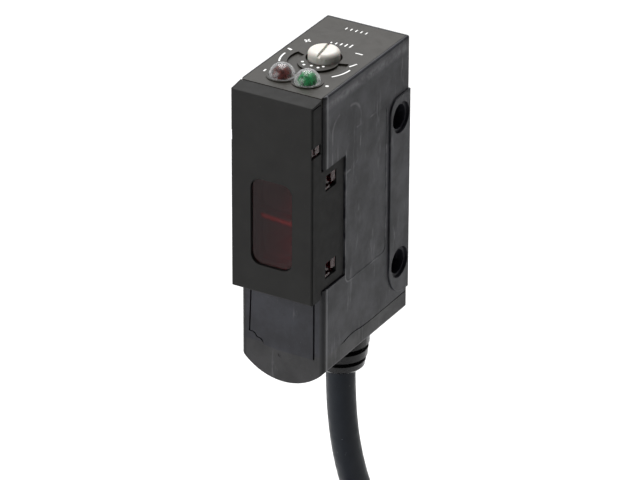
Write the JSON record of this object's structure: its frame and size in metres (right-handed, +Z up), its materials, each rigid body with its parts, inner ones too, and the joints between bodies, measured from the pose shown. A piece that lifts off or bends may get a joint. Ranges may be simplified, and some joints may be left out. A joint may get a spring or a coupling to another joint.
{
  "type": "photoelectric sensor",
  "caption": "Slim box-shaped photoelectric sensor with a clip-on front cover and red window, side mounting holes, top sensitivity dial, indicator domes and a flying-lead cable",
  "frame": {"origin": "midway between the axes of the two mounting holes, on the middle plane of the body", "axes": "+Z up towards the adjuster and the domes, the optical face looks along -Y, +X is along the mounting holes"},
  "size_m": [0.0201, 0.0552, 0.1627],
  "materials": {
    "housing_grey": "matte, lightly scuffed glass-filled PBT",
    "cover_black": "satin",
    "plate_black": "satin",
    "filter_red": "gloss, translucent",
    "seal_rubber": "matte",
    "gland_rubber": "satin",
    "knob_white": "satin",
    "part_blue": "gloss",
    "dome_amber": "clear gloss over a dark red chip",
    "dome_green": "clear gloss over a green chip",
    "holder_black": "matte",
    "lens_clear": "clear gloss",
    "package_clear": "clear gloss",
    "package_dark": "gloss",
    "board_green": "solder mask",
    "chip_black": "matte",
    "chip_ceramic": "matte ceramic",
    "shield_tin": "tinned",
    "resin": "gloss",
    "cable_pvc": "satin PVC",
    "core_brown": "gloss",
    "core_blue": "gloss",
    "core_black": "gloss",
    "tinned_copper": "tinned strands",
    "tie_nylon": "satin"
  },
  "bodies": {
    "sensor": {"board_connector": "holder_black", "bottom_cap": "housing_grey", "cable_coil": "cable_pvc", "cable_entry": "cable_pvc", "cable_ferrule": "shield_tin", "cable_gland": "gland_rubber", "cable_tail": "cable_pvc", "cable_tube": "cable_pvc", "chip_components": "chip_ceramic", "coil_ties": "tie_nylon", "control_chip": "chip_black", "core_black": "core_black", "core_blue": "core_blue", "core_brown": "core_brown", "cover_gasket": "seal_rubber", "emitter_led": "package_clear", "emitter_lens": "lens_clear", "filter_plate": "filter_red", "front_cover": "cover_black", "housing_shell": "housing_grey", "indicator_board": "board_green", "indicator_leds": "package_clear", "knob_seal": "seal_rubber", "lead_black": "core_black", "lead_blue": "core_blue", "lead_brown": "core_brown", "lead_tips": "tinned_copper", "lens_holder": "holder_black", "lower_front_panel": "housing_grey", "main_board": "board_green", "operation_indicator": "dome_amber", "output_transistor": "chip_black", "receiver_lens": "lens_clear", "receiver_photodiode": "package_dark", "receiver_shield": "shield_tin", "sealing_resin": "resin", "stability_indicator": "dome_green", "top_plate": "plate_black", "trimmer_case": "part_blue"},
    "adjuster": {"sensitivity_knob": "knob_white", "trimmer_rotor": "knob_white"}
  },
  "joints": [
    {"name": "sensitivity_turn", "type": "hinge", "parent": "sensor", "child": "adjuster", "pos_m": [0, -0.0085, 0.02015], "axis": [0, 0, 1], "range_deg": [-120, 120]}
  ]
}
